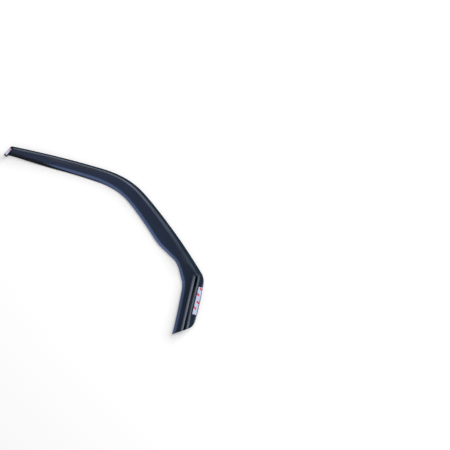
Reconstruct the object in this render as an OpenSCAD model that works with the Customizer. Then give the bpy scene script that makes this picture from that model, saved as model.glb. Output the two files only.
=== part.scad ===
// Window rain deflector for a left-hand front door, in one smoked acrylic moulding,
// lying on its outer face with its mounting side up. X runs along the roof arm
// towards the front of the car, and the foot runs down the front edge of the door.

/* [Outer edge] */
// Length of the straight roof arm
arm_len = 286; // [220:1:360]
// Turn of the roof arm over its length, in degrees
arm_turn = 5.3; // [2:0.1:8]
// Length of the easing into the arch
ease_len = 54; // [40:1:80]
// Turn of the easing into the arch, in degrees
ease_turn = 9.3; // [5:0.1:14]
// Length of the tightest part of the arch
arch_len = 87; // [70:1:120]
// Turn of the tightest part of the arch, in degrees
arch_turn = 21.8; // [15:0.1:28]
// Length of the easing out of the arch
relax_len = 44; // [30:1:70]
// Turn of the easing out of the arch, in degrees
relax_turn = 3.4; // [1:0.1:8]
// Length of the pillar run
pillar_len = 252; // [220:1:320]
// Turn of the pillar run, in degrees
pillar_turn = 7.9; // [4:0.1:12]
// Length of the outer corner above the foot
corner_len = 35; // [30:1:50]
// Turn of the outer corner, in degrees
corner_turn = 40.1; // [34:0.1:44]
// Length of the foot along its outer edge
foot_len = 132; // [120:1:180]
// Turn of the foot's outer edge, in degrees
foot_turn = 8.5; // [4:0.1:12]

/* [Widths] */
// Width along the slanted far end
far_w = 35; // [33:0.5:37]
// Width across the foot of the end wall
spur_w = 39; // [37:0.5:42]
// Width just inside the end wall
inset_w = 33.4; // [30:0.1:36]
// Width a fifth of the way along the roof arm
arm_near_w = 34; // [31:0.1:37]
// Width before the middle of the roof arm
arm_mid_w = 38.2; // [35:0.1:41]
// Width of the roof arm past its middle
arm_w = 40; // [37:0.1:45]
// Width where the arm ends
arm_end_w = 43; // [40:0.1:48]
// Width where the arch ends
arch_w = 53; // [48:0.1:58]
// Width between the arch and the widest place
swell_w = 58.3; // [54:0.1:62]
// Width at the pillar's widest place
belly_w = 61.5; // [57:0.1:66]
// Width halfway from the widest place to the neck
taper_w = 54.7; // [51:0.1:59]
// Distance from the arch to the widest place
belly_at = 104; // [94:1:114]
// Width at the neck above the foot
neck_w = 48.5; // [45:0.1:53]
// Distance from the neck to the outer corner
neck_at = 63; // [56:1:72]
// Width at the start of the outer corner
shoulder_w = 63.6; // [60:0.1:68]
// Width of the foot along its slant, at its start
foot_w = 70.8; // [68:0.1:76]
// Width of the foot along its slanted lower end
heel_w = 68.6; // [66:0.1:74]

/* [Section] */
// Height of the mounting side above the free edge
height = 22; // [18:0.5:28]
// Thickness of the moulding
wall = 3; // [2.2:0.1:3.2]
// Distance from the outer edge to the crease on the arm
crease_arm = 6; // [5.6:0.1:8]
// Distance from the outer edge to the crease where the arm ends
crease_ease = 6.8; // [5.6:0.1:9]
// Distance from the outer edge to the crease at the end of the arch
crease_arch = 10.7; // [9.5:0.1:12.5]
// Distance from the outer edge to the crease at the pillar's widest place
crease_belly = 12.3; // [11:0.1:14]
// Distance from the outer edge to the crease above the foot
crease_neck = 14.2; // [13:0.1:15.5]
// Distance from the foot's straight line to its crease
crease_foot = 18.3; // [17:0.1:20.5]
// Width of the rounded crease on the arm
crease_arm_w = 3; // [2:0.1:4]
// Width of the rounded crease where the arch ends
crease_arch_w = 4.4; // [3:0.1:6]
// Width of the rounded crease on the pillar
crease_pillar_w = 6.8; // [4:0.1:7.5]
// Width of the rounded crease on the foot
crease_foot_w = 4.4; // [3:0.1:5]
// Fall of the rounded crease
crease_fall = 1.2; // [0.6:0.1:1.5]
// Depth of the step below the flange on the arm
step_arm = 2; // [1.6:0.1:4]
// Depth of the step below the flange on the foot
step_foot = 9; // [6:0.1:10]
// Share of the blade's fall that comes from its bow
bow = 0.45; // [0.1:0.05:0.8]
// Lift of the free edge at the far end
far_lift = 6; // [2:0.5:8]
// Length of arm over which that lift fades out
lift_fade = 130; // [100:1:160]
// Lift of the free edge at the foot
foot_lift = 2; // [0:0.5:4]

/* [Free edge] */
// Width of the level lip
lip_w = 6; // [4:0.1:7]
// Rise of the lip to its edge
lip_rise = 0.5; // [0.1:0.1:0.8]
// Width of the turned-down margin outside the lip on the arm
margin_arm = 5; // [3:0.1:5.5]
// Width of the turned-down margin elsewhere
margin_w = 0.8; // [0.5:0.1:1.2]
// Fall of the turned-down margin
margin_fall = 1.8; // [0.6:0.1:2]
// Distance from the far end to where the lip starts
lip_start = 114; // [90:1:140]

/* [Ends] */
// Slant of the far end, in degrees
far_slant = 30; // [10:1:32]
// Length of arm over which that slant fades out
far_fade = 100; // [80:1:140]
// Slant of the foot's lower end, in degrees
foot_slant = 33; // [26:1:36]
// Rounding of the far corner
far_round = 5; // [2:0.5:6]
// Rounding of the heel
heel_round = 18; // [10:0.5:19]
// Width of the flange at the far end
end_flange_w = 8.5; // [7.5:0.1:12]

/* [Rib] */
// Width of the groove between the flange and the rib
groove_w = 5.4; // [4:0.1:7]
// Width of the rib's top
rib_w = 8; // [6:0.1:9]
// Width of the rib's outer flank
flank_w = 2.2; // [1.5:0.1:4]
// Length of rib above the start of the foot
rib_lead = 20; // [10:1:24]

/* [Tapes] */
// Thickness of the adhesive foam
foam_t = 1.1; // [0.8:0.1:2]
// Thickness of the release liner
liner_t = 0.2; // [0.2:0.1:0.5]
// Width of the foot tape
foot_tape_w = 12; // [8:0.5:13.5]
// Length of the foot tape
foot_tape_len = 84; // [60:1:95]
// Distance from the foot's straight line to the foot tape
foot_tape_in = 0; // [0:0.1:1]
// Distance from the start of the foot to the foot tape
foot_tape_at = 11; // [5:1:25]
// Width of the far tape
far_tape_w = 6; // [4:0.5:6.5]
// Length of the far tape
far_tape_len = 24; // [16:1:24]
// Distance from the outer corner to the far tape
far_tape_at = 6.5; // [6:0.5:8]
// Margin between the far tape and the far end
far_tape_in = 1.4; // [1:0.1:2]

/* [Hidden] */

// Stretches of the outer edge: length and clockwise turn
stretches = [
    [arm_len, arm_turn],
    [ease_len, ease_turn],
    [arch_len, arch_turn],
    [relax_len, relax_turn],
    [pillar_len, pillar_turn],
    [corner_len, corner_turn],
    [foot_len, foot_turn],
];

// Places along the outer edge, counted from the far end
at_ease = arm_len;
at_arch = at_ease + ease_len;
at_relax = at_arch + arch_len;
at_pillar = at_relax + relax_len;
at_corner = at_pillar + pillar_len;
at_foot = at_corner + corner_len;
at_heel = at_foot + foot_len;
at_neck = at_corner - neck_at;
at_belly = at_pillar + belly_at;
wall_out = end_flange_w;
wall_in = end_flange_w + wall;

// The arm's direction at the far end, chosen so that the foot runs along -Y
first_heading = 1.4;
// Length along the edge of each steep face that closes the far end
draft = 1;
// Length over which the rib rises at its start
rib_rise = 3;
// Spread of the groove's two steep sides
side_w = 1.2;
// Smallest distance kept between neighbouring points of a section
gap = 0.6;
// Length of pillar over which the sections start to turn to the foot's slant
fan_lead = 83;
// Length of pillar before the corner over which the sections make room for the rib
rib_room = 50;
// Length over which they do so
rib_room_len = 45;
// Distance before the foot at which the step reaches its depth there
step_lead = 20;
// Length over which the lip fades in
lip_fade = 20;
// Shares of the wall by which the outer face bends earlier than the inner face
bend_back = 0.8;
crease_back = 0.9;
// Places of the widths along the arm, as shares of its length
near_share = 0.2;
mid_share = 0.42;
past_share = 0.7;
// Distance before the pillar's widest place at which the swelling width is set
swell_lead = 60;
// Share of the foot that keeps its first width
even_share = 0.6;
// Spacing of the sections along the long runs, round the corner and on the foot
long_step = 6.6;
corner_step = 2.4;
foot_step = 6;
// Lengths before and after the corner that have the close spacing
corner_before = 12;
corner_after = 10;
// Sections in each rounded end
round_steps = 8;

function smooth(x) = let (t = min(1, max(0, x))) t * t * (3 - 2 * t);
function ramp(x) = min(1, max(0, x));
function mix(a, b, t) = a + (b - a) * t;
function toward(angle) = [cos(angle), sin(angle)];

// Straight distance between the ends of an arc with this length and turn
function chord(len, turn) = abs(turn) < 0.01 ? len : len * sin(turn / 2) / (turn / 2 * PI / 180);

// Point of the outer edge and its heading at station s
function edge(s, i = 0, at = [0, 0], heading = first_heading) =
    let (
        len = stretches[i][0],
        turn = stretches[i][1],
        part = i == len(stretches) - 1 ? s / len : min(1, s / len),
        bend = turn * part,
        next = at + chord(len * part, bend) * toward(heading - bend / 2)
    )
    s > len && i < len(stretches) - 1
        ? edge(s - len, i + 1, next, heading - bend)
        : [next, heading - bend];

// Smooth curve through a list of [station, value] pairs
function piece(list, s, i = 0) =
    i < len(list) - 2 && s > list[i + 1][0] ? piece(list, s, i + 1) : i;
function slope(list, i) =
    i == 0 || i == len(list) - 1
        ? 0
        : (list[i + 1][1] - list[i - 1][1]) / (list[i + 1][0] - list[i - 1][0]);
function through(list, s) =
    let (
        i = piece(list, s),
        span = list[i + 1][0] - list[i][0],
        t = ramp((s - list[i][0]) / span),
        rise = list[i + 1][1] - list[i][1],
        start = slope(list, i) * span,
        end = slope(list, i + 1) * span
    )
    list[i][1] + t * (start + t * (3 * rise - 2 * start - end + t * (start + end - 2 * rise)));

width_at = [
    [0, far_w],
    [wall_out, spur_w],
    [wall_in, spur_w],
    [wall_in + draft, inset_w],
    [arm_len * near_share, arm_near_w],
    [arm_len * mid_share, arm_mid_w],
    [arm_len * past_share, arm_w],
    [at_ease, arm_end_w],
    [at_relax, arch_w],
    [at_belly - swell_lead, swell_w],
    [at_belly, belly_w],
    [(at_belly + at_neck) / 2, taper_w],
    [at_neck, neck_w],
    [at_corner, shoulder_w],
    [at_foot, foot_w],
    [at_foot + foot_len * even_share, foot_w],
    [at_heel, heel_w],
];
crease_at = [
    [0, crease_arm],
    [at_ease, crease_ease],
    [at_relax, crease_arch],
    [at_belly, crease_belly],
    [at_neck, crease_neck],
    [at_corner, crease_neck],
];
crease_w_at = [
    [0, crease_arm_w],
    [at_ease, crease_arm_w],
    [at_relax, crease_arch_w],
    [at_belly, crease_pillar_w],
    [at_neck, crease_pillar_w],
    [at_foot, crease_foot_w],
];

// The foot's own straight line, from its start to its heel, and the way inwards from it
foot_from = edge(at_foot)[0];
foot_chord = edge(at_heel)[0] - foot_from;
foot_heading = atan2(foot_chord.y, foot_chord.x);
foot_along = toward(foot_heading);
foot_inward = toward(foot_heading - 90);

// Distances of the rib's four edges from the foot's straight line
rib_base = crease_foot + crease_foot_w / 2 + side_w + groove_w;
rib = [rib_base, rib_base + side_w, rib_base + side_w + rib_w, rib_base + side_w + rib_w + flank_w];

// Direction of the section line at station s, which fans from one slanted end to the other
function section_angle(s) =
    mix(
        edge(s)[1] - 90 - far_slant * (1 - smooth(s / far_fade)),
        foot_heading - 90 + foot_slant,
        smooth((s - at_corner + fan_lead) / (corner_len + fan_lead))
    );

// Start of the section line, moved in where an end's corner is rounded
function corner_cut(s) =
    let (
        far = ramp(s / far_round),
        heel = ramp((at_heel - s) / heel_round)
    )
    far_round * pow(1 - sqrt(far), 2) + heel_round * pow(1 - sqrt(heel), 2);

// Height of the plain inner face between the step and the lip, at a share of the way
function blade_z(from, to, share) =
    from - (from - to) * (share + bow * share * (1 - share));

// One closed section: the inner face from flange to free edge, then the outer face back
function section(s) =
    let (
        place = edge(s),
        angle = section_angle(s),
        line = toward(angle),
        lean = cos(angle - place[1] + 90),
        foot_lean = cos(angle - foot_heading + 90),
        inset = (place[0] - foot_from) * foot_inward,
        width = through(width_at, s),
        by_rib = smooth((s - at_corner + rib_room) / rib_room_len),
        crease_w = through(crease_w_at, s),
        foot_crease = s > at_neck ? (crease_foot - inset) / foot_lean : 0,
        crease = max(through(crease_at, s) / lean, foot_crease),
        step = mix(step_arm, step_foot, smooth((s - at_neck) / (at_foot - at_neck - step_lead))),
        lift = far_lift * (1 - smooth(s / lift_fade)) + foot_lift * smooth((s - at_corner) / foot_len),
        margin = mix(margin_arm, margin_w, smooth((s - at_ease) / (at_relax - at_ease))),
        lip = lip_w * smooth((s - lip_start) / lip_fade + 0.5),
        lip_z = lift + wall,
        lip_end_z = lip_z + lip_rise * lip / lip_w,
        first = corner_cut(s),
        flat_end = max(first + gap, crease - crease_w / 2),
        crease_end = max(flat_end + gap, crease + crease_w / 2),
        step_end = crease_end + side_w,
        blade_end = width - margin - lip,
        even = (blade_end - step_end) / 7,
        wanted = [
            for (k = [0:3])
                let (on_foot = max((rib[k] - inset) / foot_lean, step_end + gap * (k + 1)))
                mix(step_end + even * (k + 1), on_foot, by_rib)
        ],
        base_in = wanted[0],
        top_in = wanted[1],
        top_out = wanted[2],
        base_out = wanted[3],
        rest = (blade_end - base_out) / 3,
        across = [base_in, top_in, top_out, base_out, base_out + rest, base_out + 2 * rest, blade_end],
        plain = [
            for (v = across)
                blade_z(height - step, lip_z, (v - step_end) / (blade_end - step_end))
        ],
        ribbed = [
            for (k = [0:6])
                let (
                    along = (place[0] + across[k] * line - foot_from) * foot_along,
                    raised = k == 1 || k == 2 ? ramp((along + rib_lead) / rib_rise) : 0
                )
                mix(plain[k], height, raised)
        ],
        inner_v = concat([first, flat_end, crease_end, step_end], across, [width - margin, width]),
        inner_z = concat(
            [height, height, height - crease_fall, height - step],
            ribbed,
            [lip_end_z, lip_end_z - margin_fall * margin / margin_arm]
        ),
        pitch = atan((height - step - lip_z) / (blade_end - step_end)),
        shift = wall * sin(pitch),
        under_flat = max(first + gap / 2, flat_end - bend_back * wall),
        under_crease = max(under_flat + gap / 2, crease_end - crease_back * wall),
        under_step = max(under_crease + gap / 2, step_end - bend_back * wall),
        outer_v = concat(
            [first, under_flat, under_crease, under_step],
            [for (k = [0:6]) max(under_step + gap * (k + 1) / 2, across[k] - shift)],
            [width - margin, width]
        ),
        outer_z = concat(
            [height - wall, height - wall, height - crease_fall - wall, height - step - wall],
            [for (z = plain) max(lift, z - wall / cos(pitch) + shift * tan(pitch))],
            [lift, lift]
        ),
        fall_in = ramp((s - wall_in) / draft),
        fall_out = ramp((s - wall_out) / draft),
        inner = [
            for (k = [0:12])
                let (at = place[0] + inner_v[k] * line)
                [at.x, at.y, mix(height, inner_z[k], fall_in)]
        ],
        outer = [
            for (k = [12:-1:0])
                let (at = place[0] + outer_v[k] * line)
                [at.x, at.y, mix(height - wall, outer_z[k], fall_out)]
        ]
    )
    concat(inner, outer);

// Stations of the sections: close at the ends, the end wall and the start of the rib
function spread(from, to, step) =
    let (count = ceil((to - from) / step)) [for (k = [0:count - 1]) mix(from, to, k / count)];
stations = concat(
    [for (k = [0:round_steps]) far_round * pow(k / round_steps, 2)],
    [wall_out, wall_out + draft, wall_in, wall_in + draft],
    spread(wall_in + wall + draft, at_corner - corner_before, long_step),
    spread(at_corner - corner_before, at_foot + corner_after, corner_step),
    spread(at_foot + corner_after, at_heel - heel_round, foot_step),
    [for (k = [round_steps:-1:0]) at_heel - heel_round * pow(k / round_steps, 2)]
);
rings = [for (s = stations) section(s)];
ring_size = len(rings[0]);
points = [for (ring = rings) each ring];

// Middle of the whole deflector seen from above, which becomes the origin
all_x = [for (p = points) p.x];
all_y = [for (p = points) p.y];
middle = [(min(all_x) + max(all_x)) / 2, (min(all_y) + max(all_y)) / 2, 0];

// Skin between neighbouring sections, and the two ends
skin = [
    for (r = [0:len(rings) - 2])
        for (k = [0:ring_size - 1])
            let (
                a = r * ring_size + k,
                b = r * ring_size + (k + 1) % ring_size
            )
            each [[a, b + ring_size, b], [a, a + ring_size, b + ring_size]]
];
near_end = [for (k = [0:ring_size - 1]) k];
last_end = [for (k = [ring_size - 1:-1:0]) (len(rings) - 1) * ring_size + k];

module visor() {
    color([0.15, 0.19, 0.27])
        translate(-middle)
            polyhedron(points, concat(skin, [near_end, last_end]), convexity = 8);
}

// A flat strip, laid from a corner point along a heading, at a height
module strip(corner, heading, len, width, z, thick) {
    translate([corner.x, corner.y, z] - middle)
        rotate(heading)
            translate([0, -width])
                linear_extrude(thick)
                    square([len, width]);
}

module on_foot(z, thick) {
    corner = foot_from + foot_tape_at * foot_along + foot_tape_in * foot_inward;
    strip(corner, foot_heading, foot_tape_len, foot_tape_w, z, thick);
}

module on_far_end(z, thick) {
    heading = section_angle(0);
    corner = far_tape_at * toward(heading) + (far_tape_in + far_tape_w) * toward(heading + 90);
    strip(corner, heading, far_tape_len, far_tape_w, z, thick);
}

module foot_tape_foam() {
    color([0.25, 0.26, 0.28])
        on_foot(height, foam_t);
}

module foot_tape_liner() {
    color([0.88, 0.9, 0.97])
        on_foot(height + foam_t, liner_t);
}

module far_tape_foam() {
    color([0.25, 0.26, 0.28])
        on_far_end(height, foam_t);
}

module far_tape_liner() {
    color([0.88, 0.9, 0.97])
        on_far_end(height + foam_t, liner_t);
}

visor();
foot_tape_foam();
foot_tape_liner();
far_tape_foam();
far_tape_liner();
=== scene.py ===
"""Dresses a smoked acrylic window rain deflector and sets it in a plain studio.

The deflector lies on its outer face with its mounting side up, as the frame
holds it. Lengths are in metres where nothing else is said.
"""

import logging
import math
from dataclasses import dataclass, field
from enum import Enum
from typing import Any, Optional, Union

import bmesh
import bpy
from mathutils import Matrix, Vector
from mathutils.kdtree import KDTree


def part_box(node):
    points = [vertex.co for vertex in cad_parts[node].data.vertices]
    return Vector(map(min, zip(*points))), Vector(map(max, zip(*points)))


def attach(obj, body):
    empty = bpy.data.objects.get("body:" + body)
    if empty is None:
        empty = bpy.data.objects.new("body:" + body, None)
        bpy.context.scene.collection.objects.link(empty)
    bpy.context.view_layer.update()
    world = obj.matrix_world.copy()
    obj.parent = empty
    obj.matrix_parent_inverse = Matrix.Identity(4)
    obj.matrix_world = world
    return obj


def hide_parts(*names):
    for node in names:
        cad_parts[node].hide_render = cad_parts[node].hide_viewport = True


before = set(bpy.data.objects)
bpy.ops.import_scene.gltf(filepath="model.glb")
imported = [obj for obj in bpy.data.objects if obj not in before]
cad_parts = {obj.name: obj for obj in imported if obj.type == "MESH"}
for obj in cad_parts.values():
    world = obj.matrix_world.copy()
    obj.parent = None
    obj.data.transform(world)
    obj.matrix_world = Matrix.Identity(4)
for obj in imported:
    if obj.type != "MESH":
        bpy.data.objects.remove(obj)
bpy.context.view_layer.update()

log = logging.getLogger("rain_deflector")

Number = Union[int, float]
Range = tuple[float, float]
Colour = tuple[float, float, float, float]
Stops = tuple[tuple[float, float], ...]


def paint(red: int, green: int, blue: int) -> Colour:
    """Returns the linear colour of three display levels.

    Args:
        red: The level of red, from 0 to 255.
        green: The level of green.
        blue: The level of blue.

    Returns:
        The opaque colour.
    """
    def linear(level: int) -> float:
        """Takes one level through the usual display curve."""
        value = level / 255
        return value / 12.92 if value <= 0.04045 else ((value + 0.055) / 1.055) ** 2.4

    return linear(red), linear(green), linear(blue), 1.0


def grey(level: float) -> Colour:
    """Returns the opaque grey of a linear level."""
    return level, level, level, 1.0


class Wire:
    """A socket's output that takes part in arithmetic, each step of which adds a node."""

    def __init__(self, graph: "Graph", socket: bpy.types.NodeSocket) -> None:
        """Wraps a socket.

        Args:
            graph: The material graph that the socket belongs to.
            socket: An output socket.
        """
        self.graph = graph
        self.socket = socket

    def _math(self, operation: str, *values: Any, clamp: bool = False) -> "Wire":
        """Adds one Math node.

        Args:
            operation: The node's operation.
            *values: Its inputs, as wires or numbers.
            clamp: Whether the result is held between 0 and 1.

        Returns:
            The node's result.
        """
        settings = {"operation": operation, "use_clamp": clamp}
        return self.graph.node("ShaderNodeMath", settings, dict(enumerate(values)))

    def __add__(self, other: Any) -> "Wire":
        """Returns this plus the other."""
        return self._math("ADD", self, other)

    __radd__ = __add__

    def __sub__(self, other: Any) -> "Wire":
        """Returns this minus the other."""
        return self._math("SUBTRACT", self, other)

    def __rsub__(self, other: Any) -> "Wire":
        """Returns the other minus this."""
        return self._math("SUBTRACT", other, self)

    def __mul__(self, other: Any) -> "Wire":
        """Returns this times the other."""
        return self._math("MULTIPLY", self, other)

    __rmul__ = __mul__

    def __truediv__(self, other: Any) -> "Wire":
        """Returns this divided by the other."""
        return self._math("DIVIDE", self, other)

    def __rtruediv__(self, other: Any) -> "Wire":
        """Returns the other divided by this."""
        return self._math("DIVIDE", other, self)

    def __lt__(self, other: Any) -> "Wire":
        """Returns 1 where this is less than the other."""
        return self._math("LESS_THAN", self, other)

    def __gt__(self, other: Any) -> "Wire":
        """Returns 1 where this is more than the other, which is also what a number < this asks."""
        return self._math("GREATER_THAN", self, other)

    def __abs__(self) -> "Wire":
        """Returns the value without its sign."""
        return self._math("ABSOLUTE", self)

    def near(self, value: Number, reach: Number) -> "Wire":
        """Returns 1 where this lies within a reach of a value."""
        return self._math("COMPARE", self, value, reach)

    def part(self) -> "Wire":
        """Returns what is left after the whole number is taken off."""
        return self._math("FRACT", self)

    def whole(self) -> "Wire":
        """Returns the whole number below this."""
        return self._math("FLOOR", self)

    def clamped(self) -> "Wire":
        """Returns this held between 0 and 1."""
        return self._math("ADD", self, 0, clamp=True)

    def smooth(self, low: Number, high: Number) -> "Wire":
        """Makes a smooth step of this.

        Args:
            low: Where the step leaves 0.
            high: Where it reaches 1.

        Returns:
            The step's height.
        """
        settings = {"interpolation_type": "SMOOTHSTEP"}
        inputs = {"Value": self, "From Min": low, "From Max": high}
        return self.graph.node("ShaderNodeMapRange", settings, inputs)


class Graph:
    """The node graph of a material or of the world."""

    def __init__(self, owner: Union[bpy.types.Material, bpy.types.World], output: str) -> None:
        """Empties the owner's graph and adds its output.

        Args:
            owner: The material or world.
            output: The type of its output node.
        """
        owner.use_nodes = True
        self.owner = owner
        self.tree = owner.node_tree
        self.tree.nodes.clear()
        self.output = self.tree.nodes.new(output)

    @classmethod
    def of_material(cls, name: str) -> "Graph":
        """Returns the graph of a new material."""
        return cls(bpy.data.materials.new(name), "ShaderNodeOutputMaterial")

    def node(
        self,
        kind: str,
        settings: Optional[dict[str, Any]] = None,
        inputs: Optional[dict[Any, Any]] = None,
        output: Union[int, str] = 0,
    ) -> Wire:
        """Adds any node, sets it up and joins its inputs.

        Args:
            kind: The node's type.
            settings: Properties that are set before the inputs, such as an operation,
                or a ramp's stops as pairs of a place and a level.
            inputs: Values or wires by the socket's name or number.
            output: The output that is handed back, by name or number.

        Returns:
            The chosen output.
        """
        made = self.tree.nodes.new(kind)
        for key, value in (settings or {}).items():
            if key == "stops":
                self.set_stops(made.color_ramp.elements, value)
            else:
                setattr(made, key, value)
        for key, value in (inputs or {}).items():
            self.join(value, made.inputs[key])
        return Wire(self, made.outputs[output])

    def set_stops(self, elements: bpy.types.ColorRampElements, stops: Stops) -> None:
        """Gives a new ramp its places and grey levels.

        Args:
            elements: The new ramp's stops, of which there are two.
            stops: The place and the level of each stop, from first to last.
        """
        for _ in stops[2:]:
            elements.new(1.0)
        for element, (place, level) in zip(elements, stops):
            element.position = place
            element.color = grey(level)

    def join(self, value: Any, socket: bpy.types.NodeSocket) -> None:
        """Links a wire to a socket, or sets the socket's own value.

        Args:
            value: A wire, a number or a colour.
            socket: An input socket.
        """
        if isinstance(value, Wire):
            self.tree.links.new(value.socket, socket)
        else:
            socket.default_value = value

    def blend(self, factor: Any, first: Any, second: Any) -> Wire:
        """Mixes two colours.

        Args:
            factor: How much of the second colour shows.
            first: A colour or wire.
            second: A colour or wire.

        Returns:
            The mixed colour.
        """
        settings = {"data_type": "RGBA"}
        return self.node("ShaderNodeMix", settings, {0: factor, 6: first, 7: second}, 2)

    def course(self, value: Wire, stops: Stops) -> Wire:
        """Returns a level that follows a value from stop to stop.

        Args:
            value: What the level depends on.
            stops: The value and the level at each stop, with values that rise.

        Returns:
            The level.
        """
        first = stops[0][0]
        span = stops[-1][0] - first
        places = tuple(((at - first) / span, level) for at, level in stops)
        inputs = {"Fac": (value - first) / span}
        return self.node("ShaderNodeValToRGB", {"stops": places}, inputs)

    def place(self) -> Wire:
        """Returns the object coordinates, which are the frame's own."""
        return self.node("ShaderNodeTexCoord", output="Object")

    def place_along(self, axis: str) -> Wire:
        """Returns one of the object coordinates, named X, Y or Z."""
        return self.node("ShaderNodeSeparateXYZ", None, {"Vector": self.place()}, axis)

    def attribute(self, name: str) -> Wire:
        """Returns a number stored on the mesh."""
        return self.node("ShaderNodeAttribute", {"attribute_name": name}, output="Fac")

    def noise(self, scale: Number, detail: Number) -> Wire:
        """Returns a noise over the object, from about 0.3 to 0.7.

        Args:
            scale: Cells for each metre.
            detail: Octaves of finer noise.

        Returns:
            The noise's value.
        """
        inputs = {"Vector": self.place(), "Scale": scale, "Detail": detail}
        return self.node("ShaderNodeTexNoise", {"noise_dimensions": "3D"}, inputs)

    def bump(self, height: Wire, depth: Number) -> Wire:
        """Returns a normal bent by a height.

        Args:
            height: The relief, from 0 to 1.
            depth: The depth of the whole relief.

        Returns:
            The bent normal.
        """
        inputs = {"Height": height, "Distance": depth, "Strength": 1.0}
        return self.node("ShaderNodeBump", None, inputs)

    def surface(self, **sockets: Any) -> bpy.types.Material:
        """Adds the principled shader to a material's graph.

        Args:
            **sockets: Values or wires by socket name, with underscores for spaces.

        Returns:
            The finished material.
        """
        inputs = {name.replace("_", " "): value for name, value in sockets.items()}
        shader = self.node("ShaderNodeBsdfPrincipled", None, inputs)
        self.join(shader, self.output.inputs["Surface"])
        return self.owner


class Zone(Enum):
    """The parts of the moulding, which the material paints in tones of their own light and shade."""

    BLADE = 0
    FLANGE = 1
    CREASE = 2
    RECESS = 3
    RIB = 4
    MARGIN = 5
    OUTSIDE = 6
    EDGE = 7


# Zones are whole numbers, so half a step tells one from the next.
HALF_STEP = 0.5


@dataclass(frozen=True)
class Spot:
    """What the looks of the moulding know of each spot on it.

    Attributes:
        graph: The material graph of the wires.
        zone: The number of the zone.
        run: The place along the crease, from the far end.
        by_crease: The distance from the crease.
        by_rim: The distance from the free edge.
    """

    graph: Graph
    zone: Wire
    run: Wire
    by_crease: Wire
    by_rim: Wire

    @classmethod
    def read(cls, graph: Graph) -> "Spot":
        """Returns what is stored on the moulding's mesh."""
        names = ("zone", "run", "by_crease", "by_rim")
        return cls(graph, *(graph.attribute(name) for name in names))

    def on(self, zone: Zone) -> Wire:
        """Returns 1 on a zone."""
        return self.zone.near(zone.value, HALF_STEP)

    def up_to(self, zone: Zone) -> Wire:
        """Returns 1 on the zones up to and with the named one."""
        return self.zone < zone.value + HALF_STEP

    def along(self, stops: Stops) -> Wire:
        """Returns a level that changes along the crease."""
        return self.graph.course(self.run, stops)


@dataclass(frozen=True)
class CreaseLook:
    """The light line on the rounded crease, and the shade on both sides of it.

    Attributes:
        glow: The light's strength along the crease.
        reach: How far from the crease's middle the light ends, along the crease.
        core: The share of that reach on which the light is full.
        flange_shade: The strength of the flange's shade along the crease.
        flange_step: Where the flange's shade begins and is full, from the crease.
        blade_shade: The strength of the blade's shade along the crease.
        blade_step: Where the blade's shade begins to fade and ends, from the crease.
    """

    glow: Stops = (
        (0.0, 0.7), (0.06, 0.95), (0.10, 1.0), (0.24, 1.0), (0.31, 0.95), (0.36, 1.0), (0.41, 0.86),
        (0.46, 0.47), (0.51, 0.45), (0.57, 0.36), (0.62, 0.20), (0.69, 0.19), (0.72, 0.04), (0.73, 0.0),
    )
    reach: Stops = (
        (0.0, 0.0027), (0.26, 0.0027), (0.36, 0.0034), (0.41, 0.0040), (0.50, 0.0056), (0.68, 0.0066),
        (0.72, 0.0030),
    )
    core: float = 0.3
    flange_shade: Stops = ((0.0, 0.75), (0.30, 0.65), (0.42, 0.35), (0.86, 0.3))
    flange_step: Range = (0.0022, 0.0048)
    blade_shade: Stops = ((0.0, 0.1), (0.08, 0.2), (0.13, 0.5), (0.24, 0.5), (0.31, 0.0))
    blade_step: Range = (0.003, 0.014)

    def light(self, spot: Spot) -> Wire:
        """Returns the strength of the soft light line at a spot."""
        share = spot.by_crease / spot.along(self.reach)
        return (1 - share.smooth(self.core, 1.0)) * spot.along(self.glow)

    def shade(self, spot: Spot) -> Wire:
        """Returns the shade on the flange and on the blade.

        Args:
            spot: The spot on the moulding.

        Returns:
            The shade's strength there.
        """
        away = spot.by_crease.smooth(*self.flange_step)
        side = away * spot.along(self.flange_shade) * spot.on(Zone.FLANGE)
        below = 1 - spot.by_crease.smooth(*self.blade_step)
        return side + below * spot.along(self.blade_shade) * spot.on(Zone.BLADE)


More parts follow.
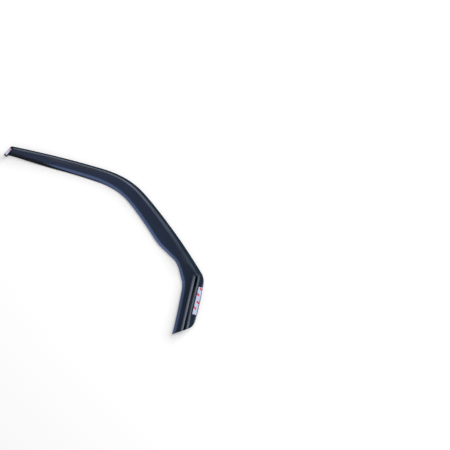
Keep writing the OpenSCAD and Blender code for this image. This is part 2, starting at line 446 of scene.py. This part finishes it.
@dataclass(frozen=True)
class LipLook:
    """The painted highlight, a pale band along the free edge, and the painted shade there on the arm's
    first third.

    Attributes:
        glow: The band's strength along the crease.
        fade: Where the band begins to fade and ends, from the free edge.
        shift: How much further in the band fades, along the crease.
        start: Where the band begins, from the free edge, along the crease.
        onset: Half the width over which it begins.
        margin_glow: The band's share on the turned-down margin, along the crease.
        shade_level: The strength of the shade along the crease.
        shade_step: Where the shade begins to fade and ends, from the free edge.
    """

    glow: Stops = (
        (0.09, 0.0), (0.125, 0.70), (0.19, 0.84), (0.36, 0.76), (0.50, 0.80), (0.60, 1.0), (0.72, 0.76),
        (0.86, 0.66),
    )
    fade: Range = (0.0055, 0.0115)
    shift: Stops = (
        (0.12, 0.0028), (0.19, 0.0030), (0.25, 0.0040), (0.316, 0.0018), (0.37, 0.0), (0.57, 0.0),
        (0.62, -0.0012), (0.72, -0.0012), (0.86, -0.0022),
    )
    start: Stops = ((0.12, 0.0072), (0.16, 0.0050), (0.21, 0.0022), (0.27, -0.0040))
    onset: float = 0.0012
    margin_glow: Stops = (
        (0.085, 0.0), (0.13, 0.24), (0.19, 0.52), (0.25, 0.42), (0.316, 0.90), (0.36, 1.0),
    )
    shade_level: Stops = ((0.0, 0.80), (0.05, 0.95), (0.11, 1.0), (0.13, 0.0))
    shade_step: Range = (0.0062, 0.0150)

    def light(self, spot: Spot) -> Wire:
        """Returns the painted highlight along the free edge, which is fainter on the turned-down
        margin.

        Args:
            spot: The spot on the moulding.

        Returns:
            The band's strength there.
        """
        onset = (spot.by_rim - spot.along(self.start)).smooth(-self.onset, self.onset)
        faded = (spot.by_rim - spot.along(self.shift)).smooth(*self.fade)
        plain = 1 - spot.on(Zone.MARGIN) * (1 - spot.along(self.margin_glow))
        return onset * (1 - faded) * spot.along(self.glow) * plain

    def shade(self, spot: Spot) -> Wire:
        """Returns the strength of the shade at a spot."""
        faded = spot.by_rim.smooth(*self.shade_step)
        return (1 - faded) * spot.along(self.shade_level)


@dataclass(frozen=True)
class FootLook:
    """The light on the foot: on the rib, by the step and along the outer side.

    The frame's X gives how far a spot lies in from the foot's outer side, and its Y
    how far up the foot it lies.

    Attributes:
        side_x: The X of the foot's straight outer side.
        top_y: The Y up to which the foot reaches.
        rib_glow: The strength by the rib, from the outer side.
        rib_fade: The share of it, up the foot.
        side_glow: The strength along the outer side, from that side.
        step_glow: The strength by the step, from the outer side.
        step_shift: How much further in it lies, up the foot.
        step_fade: The share of it on the upper zones, up the foot.
        recess_fade: The share of it in the groove, up the foot.
    """

    side_x: float = 0.3358
    top_y: float = -0.030
    rib_glow: Stops = (
        (0.0265, 0.0), (0.0283, 0.56), (0.0320, 0.80), (0.0345, 0.60), (0.0366, 0.24), (0.040, 0.0),
    )
    rib_fade: Stops = ((-0.062, 1.0), (-0.034, 0.55))
    side_glow: Stops = ((-0.003, 0.70), (0.002, 0.55), (0.006, 0.0))
    step_glow: Stops = (
        (0.0150, 0.0), (0.0182, 0.60), (0.0205, 0.68), (0.0235, 0.34), (0.0270, 0.10), (0.0300, 0.0),
    )
    step_shift: Stops = ((-0.182, -0.0008), (-0.144, 0.0028), (-0.106, 0.0016), (-0.068, 0.0))
    step_fade: Stops = ((-0.046, 1.0), (-0.026, 0.0))
    recess_fade: Stops = ((-0.085, 1.0), (-0.060, 0.0))

    def light(self, spot: Spot) -> Wire:
        """Returns the light on the foot.

        Args:
            spot: The spot on the moulding.

        Returns:
            The light's strength there.
        """
        course = spot.graph.course
        inset = self.side_x - spot.graph.place_along("X")
        level = spot.graph.place_along("Y")
        on_foot = level < self.top_y
        upper = spot.up_to(Zone.CREASE)
        by_rib = course(inset, self.rib_glow) * course(level, self.rib_fade)
        rib = by_rib * (on_foot * (upper + spot.on(Zone.RIB)))
        side = course(inset, self.side_glow) * (spot.on(Zone.FLANGE) * on_foot)
        by_step = course(inset - course(level, self.step_shift), self.step_glow)
        on_upper = course(level, self.step_fade) * upper
        in_recess = course(level, self.recess_fade) * spot.on(Zone.RECESS)
        return rib + side + by_step * (on_upper + in_recess)


@dataclass(frozen=True)
class SmokedAcrylic:
    """The polished, nearly opaque navy acrylic of the moulding.

    Attributes:
        painted_zone_tones: The colour of each zone, with painted light and shade in it: the crease
            lighter, the groove, the margin, the upright edges and the underside darker, and the blade
            lighter than the flange to make up for its real shade.
        foot_tint: The greener colour towards the foot.
        foot_share: The share of that colour along the crease.
        sheen: The colour of the light on the crease and the foot.
        lip_sheen: The colour of the painted highlight along the free edge.
        shade: The colour of the shades.
        crease: The light and shade of the crease.
        lip: The light and shade of the free edge.
        foot: The light of the foot.
        cloud_scale: Clouds for each metre.
        cloud_detail: Octaves of finer clouds.
        cloud_step: The noise's values where a cloud begins and where it is full.
        cloud_depth: How much darker a cloud is.
        ripple_scale: Mould ripples for each metre.
        ripple_detail: Octaves of finer ripples.
        ripple_depth: The depth of a ripple.
        roughness: The roughness of the polish.
        cloud_roughness: What a cloud adds to it.
        reflection: The strength of reflections, where 0.5 is the usual one.
        index: The refractive index.
    """

    # Each zone's tone is painted light and shade on one acrylic: lighter on the crease, darker in the
    # groove, on the margin, the upright edges and the underside.
    painted_zone_tones: dict[Zone, Colour] = field(default_factory=lambda: {
        Zone.BLADE: paint(49, 63, 93),
        Zone.FLANGE: paint(32, 49, 68),
        Zone.CREASE: paint(40, 52, 74),
        Zone.RECESS: paint(8, 13, 24),
        Zone.RIB: paint(26, 36, 54),
        Zone.MARGIN: paint(6, 10, 24),
        Zone.OUTSIDE: paint(22, 29, 46),
        Zone.EDGE: paint(14, 20, 32),
    })
    foot_tint: Colour = paint(18, 39, 56)
    foot_share: Stops = ((0.28, 0.0), (0.44, 0.30), (0.64, 0.42), (0.74, 0.82), (0.86, 0.82))
    sheen: Colour = paint(127, 135, 151)
    lip_sheen: Colour = paint(98, 118, 164)
    shade: Colour = paint(9, 13, 24)
    crease: CreaseLook = field(default_factory=CreaseLook)
    lip: LipLook = field(default_factory=LipLook)
    foot: FootLook = field(default_factory=FootLook)
    cloud_scale: float = 14.0
    cloud_detail: float = 3.0
    cloud_step: Range = (0.3, 0.7)
    cloud_depth: float = 0.16
    ripple_scale: float = 60.0
    ripple_detail: float = 1.0
    ripple_depth: float = 0.00003
    roughness: float = 0.16
    cloud_roughness: float = 0.10
    reflection: float = 0.3
    index: float = 1.49

    def material(self) -> bpy.types.Material:
        """Makes the acrylic, with its real reflections, painted light and shade, faint clouds and mould
        ripple.

        Returns:
            The finished material.
        """
        graph = Graph.of_material("smoked_acrylic")
        colour = self.lit_colour(graph)
        clouds = graph.noise(self.cloud_scale, self.cloud_detail).smooth(*self.cloud_step)
        deeper = graph.node(
            "ShaderNodeHueSaturation",
            inputs={"Value": 1 - self.cloud_depth, "Saturation": 1.0, "Color": colour},
        )
        ripple = graph.noise(self.ripple_scale, self.ripple_detail)
        return graph.surface(
            Base_Color=graph.blend(clouds, colour, deeper),
            Roughness=self.roughness + clouds * self.cloud_roughness,
            Specular_IOR_Level=self.reflection,
            IOR=self.index,
            Normal=graph.bump(ripple, self.ripple_depth),
        )

    def lit_colour(self, graph: Graph) -> Wire:
        """Lays the shades and lights over the zones' colours.

        Args:
            graph: The material's graph.

        Returns:
            The colour before the clouds.
        """
        spot = Spot.read(graph)
        upper = spot.up_to(Zone.CREASE)
        inner = spot.up_to(Zone.MARGIN)
        colour: Any = self.painted_zone_tones[Zone.BLADE]
        # Each zone gets its painted tone of light and shade.
        for zone, zone_tone in self.painted_zone_tones.items():
            if zone is not Zone.BLADE:
                colour = graph.blend(spot.on(zone), colour, zone_tone)
        colour = graph.blend(self.crease.shade(spot), colour, self.shade)
        colour = graph.blend(spot.along(self.foot_share) * upper, colour, self.foot_tint)
        colour = graph.blend(self.lip.shade(spot) * upper, colour, self.shade)
        colour = graph.blend(self.lip.light(spot) * inner, colour, self.lip_sheen)
        colour = graph.blend(self.crease.light(spot) * upper, colour, self.sheen)
        return graph.blend(self.foot.light(spot), colour, self.sheen)


@dataclass(frozen=True)
class ClosedCellFoam:
    """The matt grey foam of the adhesive pads.

    Attributes:
        light: The colour of the cells' walls.
        dark: The colour inside the cells.
        cell_scale: Cells for each metre.
        cell_depth: The depth of a cell.
        wall_step: Where a cell's wall begins and is full, in cells.
        roughness: The roughness inside the cells.
        wall_polish: How much less rough the walls are.
    """

    light: Colour = paint(86, 88, 92)
    dark: Colour = paint(46, 48, 52)
    cell_scale: float = 2600.0
    cell_depth: float = 0.00012
    wall_step: Range = (0.1, 0.7)
    roughness: float = 0.85
    wall_polish: float = 0.1

    def material(self) -> bpy.types.Material:
        """Makes the foam, with its cells as colour and relief.

        Returns:
            The finished material.
        """
        graph = Graph.of_material("tape_foam")
        inputs = {"Vector": graph.place(), "Scale": self.cell_scale}
        cells = graph.node("ShaderNodeTexVoronoi", None, inputs, "Distance")
        wall = cells.smooth(*self.wall_step)
        return graph.surface(
            Base_Color=graph.blend(wall, self.dark, self.light),
            Roughness=self.roughness - wall * self.wall_polish,
            Normal=graph.bump(wall, self.cell_depth),
        )


@dataclass(frozen=True)
class ReleaseLiner:
    """The pale film over a pad, with plain slanted dashes printed on it.

    Attributes:
        film: The film's colour.
        shade: Its colour in the wrinkles.
        ink: The colour of the dashes.
        cover: How much of the film the ink hides.
        pitch: The distance between dashes.
        start: The distance of the first one from the pad's end.
        dash: The length of a dash.
        slant: How far a dash leans along the pad for each metre across it.
        sway: How far the dashes stand to either side by turns, in widths of the pad.
        reach: Half a dash's width, in widths of the pad.
        wrinkle_scale: Wrinkles for each metre.
        wrinkle_detail: Octaves of finer wrinkles.
        wrinkle_step: The noise's values where a wrinkle begins and where it is full.
        wrinkle_depth: The depth of a wrinkle.
        roughness: The roughness of the plain film.
        wrinkle_roughness: What a wrinkle adds to it.
        ink_roughness: What the ink adds to it.
        reflection: The strength of reflections, where 0.5 is the usual one.
    """

    film: Colour = paint(208, 218, 242)
    shade: Colour = paint(188, 200, 232)
    ink: Colour = paint(220, 40, 60)
    cover: float = 0.92
    pitch: float = 0.0205
    start: float = 0.001
    dash: float = 0.0064
    slant: float = 0.55
    sway: float = 0.20
    reach: float = 0.36
    wrinkle_scale: float = 420.0
    wrinkle_detail: float = 2.0
    wrinkle_step: Range = (0.35, 0.65)
    wrinkle_depth: float = 0.00002
    roughness: float = 0.42
    wrinkle_roughness: float = 0.12
    ink_roughness: float = 0.1
    reflection: float = 0.4

    def material(self, name: str, width: float) -> bpy.types.Material:
        """Makes the film for a pad.

        Args:
            name: The material's name.
            width: The pad's width.

        Returns:
            The printed film.
        """
        graph = Graph.of_material(name)
        ink = self.dashes(graph, width)
        wrinkle = graph.noise(self.wrinkle_scale, self.wrinkle_detail).smooth(*self.wrinkle_step)
        film = graph.blend(wrinkle, self.film, self.shade)
        return graph.surface(
            Base_Color=graph.blend(ink * self.cover, film, self.ink),
            Roughness=self.roughness + wrinkle * self.wrinkle_roughness + ink * self.ink_roughness,
            Specular_IOR_Level=self.reflection,
            Normal=graph.bump(wrinkle, self.wrinkle_depth),
        )

    def dashes(self, graph: Graph, width: float) -> Wire:
        """Prints a row of slanted dashes, which sway from side to side.

        Args:
            graph: The material's graph.
            width: The pad's width.

        Returns:
            1 where there is ink.
        """
        across = graph.attribute("across") / width
        count = (graph.attribute("along") - self.start + across * (width * self.slant)) / self.pitch
        # The side is -1 on one dash and 1 on the next.
        side = (count.whole() * 0.5).part() * 4 - 1
        on_dash = count.part() < self.dash / self.pitch
        return on_dash * (abs(across - side * self.sway) < self.reach)


@dataclass
class Piece:
    """A finished copy of one CAD node, which it then stands for.

    Attributes:
        node: The CAD node's name.
        slot: The name of a slot for its material, which is not used.
        weld: How close two vertices are to be one.
    """

    node: str
    slot: str
    weld: float = 1e-6

    def start(self) -> bmesh.types.BMesh:
        """Copies the node's mesh and welds its loose triangles.

        Returns:
            The welded copy.
        """
        mesh = bmesh.new()
        mesh.from_mesh(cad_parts[self.node].data)
        bmesh.ops.remove_doubles(mesh, verts=mesh.verts, dist=self.weld)
        bmesh.ops.dissolve_degenerate(mesh, edges=mesh.edges, dist=self.weld)
        mesh.normal_update()
        return mesh

    def finish(self, mesh: bmesh.types.BMesh, material: bpy.types.Material) -> bpy.types.Object:
        """Turns the mesh into the piece and puts it in the node's place.

        Args:
            mesh: The finished shape, in the frame.
            material: Its finish.

        Returns:
            The piece.
        """
        data = bpy.data.meshes.new(self.node + "_finished")
        mesh.to_mesh(data)
        mesh.free()
        data.materials.clear()
        data.materials.append(material)
        piece = bpy.data.objects.new(self.node + "_finished", data)
        bpy.context.scene.collection.objects.link(piece)
        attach(piece, "root")
        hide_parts(self.node)
        return piece


@dataclass
class Line:
    """A line drawn along the moulding, as closely spaced points seen from above.

    Attributes:
        points: The points.
        tree: The same points, sorted for quick searches.
    """

    points: list[Vector]
    tree: KDTree = field(init=False)

    def __post_init__(self) -> None:
        """Sorts the points for quick searches."""
        self.tree = KDTree(len(self.points))
        for number, point in enumerate(self.points):
            self.tree.insert((point.x, point.y, 0.0), number)
        self.tree.balance()

    def nearest(self, point: Vector) -> tuple[int, float]:
        """Returns the number of the nearest point and its distance from above."""
        _, number, distance = self.tree.find((point.x, point.y, 0.0))
        return number, distance

    def stations(self) -> list[float]:
        """Measures the line.

        Returns:
            How far along the line each point lies.
        """
        run = 0.0
        made = [run]
        for before, after in zip(self.points, self.points[1:]):
            run += (after.xy - before.xy).length
            made.append(run)
        return made


@dataclass
class Moulding(Piece):
    """The acrylic moulding, with its edges rounded and its zones marked.

    Slopes are the upward part of a face's normal, where 1 is level.

    Attributes:
        wall: The thickness of the wall.
        crease_fall: How far the rounded crease falls from the flange's face.
        flush: How far a level face may lie under the flange's face and be part of it.
        slack: How far under the crease a vertex may lie and be part of it.
        low_band: The height under which the free edge's margin lies.
        level_slope: The slope above which a face is level.
        upright_slope: The slope under which a face stands upright.
        under_slope: The slope under which a face looks down.
        foot_top_y: The Y up to which the foot reaches.
        rib_limit_x: The X between the rib and the groove.
        groove_limit_x: The X of the groove's outer side.
        sweep_centre: A place inside the bow, round which the crease runs.
        line_spacing: The distance between a line's points.
        edge_round: The radius of the rounded edges.
        edge_angle: The angle between faces from which an edge is rounded.
        segments: The steps of a rounded edge.
        shortest: The length under which an edge is closed up before the rounding.
        pair_slope: The most that two triangles may lean to each other and be joined.
        pair_corner: The most that a joined face's corners may differ.
        even: The zones whose faces keep their own slope in the shading.
        influence_layer: The layer in which the modifier for the sheen finds those zones.
        strong: Their value in that layer.
        face_weight: How much a large face weighs in the sheen, where 50 is by its area.
        finish_with: The material.
    """

    node: str = "visor"
    slot: str = "smoked_acrylic"
    wall: float = 0.003
    crease_fall: float = 0.0012
    flush: float = 0.0003
    slack: float = 0.0001
    low_band: float = 0.0095
    level_slope: float = 0.9995
    upright_slope: float = 0.12
    under_slope: float = -0.02
    foot_top_y: float = -0.030
    rib_limit_x: float = 0.3075
    groove_limit_x: float = 0.3138
    sweep_centre: tuple[float, float] = (0.05, -0.15)
    line_spacing: float = 0.0008
    edge_round: float = 0.0005
    edge_angle: float = math.radians(24)
    segments: int = 3
    shortest: float = 0.0006
    pair_slope: float = math.radians(20)
    pair_corner: float = math.radians(170)
    even: tuple[Zone, ...] = (Zone.FLANGE, Zone.RIB, Zone.EDGE)
    influence_layer: str = "__mod_weightednormals_faceweight"
    strong: int = 16383
    face_weight: int = 50
    finish_with: SmokedAcrylic = field(default_factory=SmokedAcrylic)

    def build(self) -> bpy.types.Object:
        """Makes the moulding.

        Returns:
            The finished piece.
        """
        mesh = self.start()
        self.mark_zones(mesh)
        crease = self.crease_line(mesh)
        rim = self.rim_line(mesh)
        self.pair_triangles(mesh)
        self.round_edges(mesh)
        self.store_places(mesh, crease, rim)
        for face in mesh.faces:
            face.smooth = True
        piece = self.finish(mesh, self.finish_with.material())
        self.even_sheen(piece)
        return piece

    def mark_zones(self, mesh: bmesh.types.BMesh) -> None:
        """Stores on each face its zone, and whether it keeps its own slope in the shading.

        Args:
            mesh: The welded moulding.
        """
        zone = mesh.faces.layers.int.new("zone")
        influence = mesh.faces.layers.int.new(self.influence_layer)
        rim = self.rim_vertices(mesh)
        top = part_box(self.node)[1].z
        for face in mesh.faces:
            kind = self.zone_of(face, rim, top)
            face[zone] = kind.value
            face[influence] = self.strong if kind in self.even else 0

    def rim_vertices(self, mesh: bmesh.types.BMesh) -> set[bmesh.types.BMVert]:
        """Finds the free edge.

        Args:
            mesh: The welded moulding.

        Returns:
            The vertices along the top of the free edge.
        """
        rim = set()
        for face in mesh.faces:
            top = max(vert.co.z for vert in face.verts)
            if abs(face.normal.z) < self.upright_slope and top < self.low_band:
                middle = face.calc_center_median().z
                rim.update(vert for vert in face.verts if vert.co.z > middle)
        return rim

    def zone_of(self, face: bmesh.types.BMFace, rim: set[bmesh.types.BMVert], top: float) -> Zone:
        """Tells a face's zone from its place and slope.

        Args:
            face: A face of the unrounded moulding.
            rim: The vertices along the top of the free edge.
            top: The height of the flange's face.

        Returns:
            The face's zone.
        """
        centre = face.calc_center_median()
        slope = face.normal.z
        on_foot = centre.y < self.foot_top_y
        if slope < self.under_slope:
            return Zone.OUTSIDE
        if slope > self.level_slope and centre.z > top - self.flush:
            is_rib = on_foot and centre.x < self.rib_limit_x
            return Zone.RIB if is_rib else Zone.FLANGE
        if on_foot and self.low_band < centre.z < top - self.crease_fall:
            if self.rib_limit_x - self.wall < centre.x < self.groove_limit_x:
                return Zone.RECESS
        if slope < self.upright_slope:
            return Zone.EDGE
        if min(vert.co.z for vert in face.verts) > top - self.crease_fall - self.slack:
            return Zone.CREASE
        if centre.z < self.low_band and any(vert in rim for vert in face.verts):
            return Zone.MARGIN
        return Zone.BLADE

    def crease_line(self, mesh: bmesh.types.BMesh) -> Line:
        """Draws the middle of the crease.

        Args:
            mesh: The moulding with its zones marked.

        Returns:
            The line from the far end to the heel.
        """
        zone = mesh.faces.layers.int["zone"]
        points = []
        for face in mesh.faces:
            if face[zone] == Zone.CREASE.value:
                inside = [
                    edge for edge in face.edges
                    if all(near[zone] == Zone.CREASE.value for near in edge.link_faces)
                ]
                if len(inside) == 2:
                    ends = [(edge.verts[0].co + edge.verts[1].co) / 2 for edge in inside]
                    points.extend(self.drawn(*ends))
        centre = Vector(self.sweep_centre)
        points.sort(key=lambda point: -math.atan2(point.y - centre.y, point.x - centre.x))
        return Line(points)

    def rim_line(self, mesh: bmesh.types.BMesh) -> Line:
        """Draws the top of the free edge.

        Args:
            mesh: The welded moulding.

        Returns:
            The line, whose points are in no order.
        """
        rim = self.rim_vertices(mesh)
        points: list[Vector] = []
        for edge in mesh.edges:
            if all(vert in rim for vert in edge.verts):
                points.extend(self.drawn(edge.verts[0].co, edge.verts[1].co))
        return Line(points)

    def drawn(self, first: Vector, last: Vector) -> list[Vector]:
        """Returns closely spaced points on a stretch, from its first end up to its last."""
        count = max(1, math.ceil((last - first).length / self.line_spacing))
        return [first.lerp(last, number / count) for number in range(count)]

    def store_places(self, mesh: bmesh.types.BMesh, crease: Line, rim: Line) -> None:
        """Stores how far each vertex lies along the crease, from it and from the free edge.

        Args:
            mesh: The moulding with its edges rounded.
            crease: The middle of the crease.
            rim: The top of the free edge.
        """
        layers = mesh.verts.layers.float
        run = layers.new("run")
        by_crease = layers.new("by_crease")
        by_rim = layers.new("by_rim")
        stations = crease.stations()
        for vert in mesh.verts:
            number, vert[by_crease] = crease.nearest(vert.co)
            vert[run] = stations[number]
            vert[by_rim] = rim.nearest(vert.co)[1]

    def pair_triangles(self, mesh: bmesh.types.BMesh) -> None:
        """Joins the triangles of each zone into four-sided faces.

        Args:
            mesh: The moulding with its zones marked.
        """
        zone = mesh.faces.layers.int["zone"]
        for kind in Zone:
            bmesh.ops.join_triangles(
                mesh,
                faces=[face for face in mesh.faces if face[zone] == kind.value],
                cmp_seam=False,
                cmp_sharp=False,
                cmp_uvs=False,
                cmp_vcols=False,
                cmp_materials=False,
                angle_face_threshold=self.pair_slope,
                angle_shape_threshold=self.pair_corner,
            )

    def round_edges(self, mesh: bmesh.types.BMesh) -> None:
        """Rounds every edge where two faces meet at a marked angle.

        Short edges are closed up first, because the shortest one limits every rounding.

        Args:
            mesh: The moulding.
        """
        bmesh.ops.dissolve_degenerate(mesh, edges=mesh.edges, dist=self.shortest)
        sharp = [
            edge for edge in mesh.edges
            if edge.is_manifold and edge.calc_face_angle(0.0) > self.edge_angle
        ]
        bmesh.ops.bevel(
            mesh,
            geom=sharp,
            offset=self.edge_round,
            offset_type="OFFSET",
            segments=self.segments,
            profile=0.5,
            affect="EDGES",
            face_strength_mode="NEW",
            clamp_overlap=True,
            material=-1,
        )

    def even_sheen(self, piece: bpy.types.Object) -> None:
        """Shades the even zones by their own faces, up to their rounded edges.

        Args:
            piece: The finished moulding.
        """
        smooth = piece.modifiers.new("even_sheen", "WEIGHTED_NORMAL")
        smooth.keep_sharp = True
        smooth.use_face_influence = True
        smooth.weight = self.face_weight


@dataclass
class TapeLayer(Piece):
    """One flat layer of an adhesive pad.

    Attributes:
        material: Its finish.
        edge_round: The radius of its rounded edges.
        segments: The steps of a rounded edge.
        flat_angle: The angle up to which its triangles are joined.
    """

    material: Optional[bpy.types.Material] = None
    edge_round: float = 0.00008
    segments: int = 2
    flat_angle: float = math.radians(1)

    def build(self) -> bpy.types.Object:
        """Makes the layer.

        Returns:
            The finished piece.
        """
        mesh = self.start()
        bmesh.ops.dissolve_limit(
            mesh, angle_limit=self.flat_angle, verts=mesh.verts, edges=mesh.edges
        )
        bmesh.ops.bevel(
            mesh,
            geom=mesh.edges[:],
            offset=self.edge_round,
            offset_type="OFFSET",
            segments=self.segments,
            profile=0.5,
            affect="EDGES",
            material=-1,
        )
        self.store_place(mesh)
        return self.finish(mesh, self.material)

    def store_place(self, mesh: bmesh.types.BMesh) -> None:
        """Stores how far each vertex lies along and across the layer.

        Args:
            mesh: The layer.
        """
        along = mesh.verts.layers.float.new("along")
        across = mesh.verts.layers.float.new("across")
        way, side, end, middle = self.axes(mesh)
        for vert in mesh.verts:
            vert[along] = (vert.co - end).dot(way)
            vert[across] = (vert.co - middle).dot(side)

    def axes(self, mesh: bmesh.types.BMesh) -> tuple[Vector, Vector, Vector, Vector]:
        """Works out the layer's own directions.

        Args:
            mesh: The layer.

        Returns:
            The way along it, the way across it, its first end and its middle.
        """
        level = [
            edge for edge in mesh.edges
            if abs(edge.verts[0].co.z - edge.verts[1].co.z) < self.weld
        ]
        long_edge = max(level, key=lambda edge: edge.calc_length())
        way = (long_edge.verts[1].co - long_edge.verts[0].co).normalized()
        if way.y > 0:
            way = -way
        side = way.cross(Vector((0, 0, 1))).normalized()
        end = min((vert.co for vert in mesh.verts), key=lambda point: point.dot(way))
        middle = sum((vert.co for vert in mesh.verts), Vector()) / len(mesh.verts)
        return way, side, end.copy(), middle


@dataclass
class AdhesivePad:
    """A foam pad with its release liner.

    Attributes:
        place: The first words of its nodes' names.
        width: The width of the pad.
        foam: The foam's finish.
        liner: The liner's finish.
    """

    place: str
    width: float
    foam: ClosedCellFoam = field(default_factory=ClosedCellFoam)
    liner: ReleaseLiner = field(default_factory=ReleaseLiner)

    def build(self) -> list[bpy.types.Object]:
        """Makes both layers.

        Returns:
            The foam and the liner.
        """
        foam = TapeLayer(self.place + "_foam", "tape_foam", material=self.foam.material()).build()
        film = self.liner.material(self.place + "_film", self.width)
        return [foam, TapeLayer(self.place + "_liner", "tape_liner", material=film).build()]


@dataclass
class Lamp:
    """A soft rectangular lamp that faces the deflector.

    Attributes:
        name: The lamp's name.
        turn: Where it hangs round the deflector, in degrees from the X axis.
        tilt: How high it hangs, in degrees over the floor.
        distance: How far off it hangs.
        width: Its width.
        height: Its height.
        level: Its strength. It alone gives a white floor 1.13 times this, where 1 is white.
        mirrored: Whether polished surfaces mirror it.
    """

    name: str
    turn: float
    tilt: float
    distance: float
    width: float
    height: float
    level: float
    mirrored: bool = True

    def build(self, target: Vector) -> None:
        """Hangs the lamp.

        Args:
            target: The point that it faces.
        """
        turn = math.radians(self.turn)
        tilt = math.radians(self.tilt)
        out = Vector((math.cos(turn) * math.cos(tilt), math.sin(turn) * math.cos(tilt), math.sin(tilt)))
        data = bpy.data.lights.new(self.name, "AREA")
        data.shape = "RECTANGLE"
        data.size = self.width
        data.size_y = self.height
        data.energy = self.level * 4 * math.pi * self.distance ** 2 / math.sin(tilt)
        lamp = bpy.data.objects.new(self.name, data)
        lamp.location = target + out * self.distance
        lamp.rotation_euler = out.to_track_quat("Z", "Y").to_euler()
        lamp.visible_glossy = self.mirrored
        bpy.context.scene.collection.objects.link(lamp)


@dataclass
class Studio:
    """The pale floor, the soft light and the camera above.

    Attributes:
        view_width: The width of the picture, at the deflector.
        view_centre: The X and Y in the picture's middle.
        view_level: The height at which that width holds.
        view_turn: How far the camera is turned round the Z axis, in degrees.
        lens: The lens's length, in millimetres.
        sensor: The sensor's width, in millimetres.
        floor_size: The side of the floor.
        floor_colour: The floor's colour.
        floor_roughness: The floor's roughness.
        floor_lift: What the camera and mirrors see added to the floor, where 1 is white.
        sky: The room's even light, where 1 is white.
        lamps: The lamps.
    """

    view_width: float = 1.35
    view_centre: tuple[float, float] = (0.3580, 0.1325)
    view_level: float = 0.016
    view_turn: float = 12.7
    lens: float = 150.0
    sensor: float = 36.0
    floor_size: float = 60.0
    floor_colour: Colour = grey(0.95)
    floor_roughness: float = 0.9
    floor_lift: float = 0.165
    sky: float = 0.50
    lamps: list[Lamp] = field(default_factory=lambda: [
        Lamp("key", turn=50.0, tilt=22.0, distance=5.0, width=4.0, height=2.0, level=0.38),
        Lamp(
            "top", turn=75.0, tilt=64.0, distance=5.0, width=3.0, height=3.0, level=0.16,
            mirrored=False,
        ),
    ])

    def build(self) -> None:
        """Sets the whole studio."""
        self.set_camera()
        self.lay_floor()
        self.light_sky()
        for lamp in self.lamps:
            lamp.build(Vector((*self.view_centre, 0)))
        bpy.context.scene.view_settings.view_transform = "Standard"

    def set_camera(self) -> None:
        """Points a long lens straight down, turned as the deflector lies in its picture."""
        data = bpy.data.cameras.new("camera")
        data.lens = self.lens
        data.sensor_width = self.sensor
        data.sensor_fit = "HORIZONTAL"
        data.clip_end = self.floor_size * 2
        camera = bpy.data.objects.new("camera", data)
        distance = self.view_width * self.lens / self.sensor
        camera.location = (*self.view_centre, self.view_level + distance)
        camera.rotation_euler = (0, 0, math.radians(self.view_turn))
        bpy.context.scene.collection.objects.link(camera)
        bpy.context.scene.camera = camera

    def lay_floor(self) -> None:
        """Lays a pale floor that keeps the deflector's shadow."""
        mesh = bmesh.new()
        bmesh.ops.create_grid(mesh, x_segments=1, y_segments=1, size=self.floor_size / 2)
        data = bpy.data.meshes.new("floor")
        mesh.to_mesh(data)
        mesh.free()
        data.materials.append(self.floor_paper())
        floor = bpy.data.objects.new("floor", data)
        bpy.context.scene.collection.objects.link(floor)

    def floor_paper(self) -> bpy.types.Material:
        """Makes matt paper, a little brighter to the camera and in mirrors than its light.

        Returns:
            The finished material.
        """
        graph = Graph.of_material("floor_paper")
        seen: Any = 0
        for kind in ("Camera", "Glossy", "Transmission"):
            seen = seen + graph.node("ShaderNodeLightPath", output=f"Is {kind} Ray")
        return graph.surface(
            Base_Color=self.floor_colour,
            Roughness=self.floor_roughness,
            Specular_IOR_Level=0.0,
            Emission_Color=graph.blend(seen.clamped(), grey(0.0), grey(self.floor_lift)),
            Emission_Strength=1.0,
        )

    def light_sky(self) -> None:
        """Lights the room evenly from all sides."""
        world = bpy.data.worlds.new("room")
        bpy.context.scene.world = world
        graph = Graph(world, "ShaderNodeOutputWorld")
        background = graph.node("ShaderNodeBackground", inputs={"Strength": self.sky})
        graph.join(background, graph.output.inputs["Surface"])


def main() -> None:
    """Builds the studio and the deflector in order, and reports each piece."""
    logging.basicConfig(level=logging.INFO, format="%(name)s: %(message)s")
    Studio().build()
    far_liner = ReleaseLiner(ink=paint(206, 112, 138))
    pieces = [
        Moulding().build(),
        *AdhesivePad("foot_tape", width=0.012).build(),
        *AdhesivePad("far_tape", width=0.006, liner=far_liner).build(),
    ]
    for piece in pieces:
        log.info("%s: %d faces", piece.name, len(piece.data.polygons))


if __name__ == "__main__":
    main()
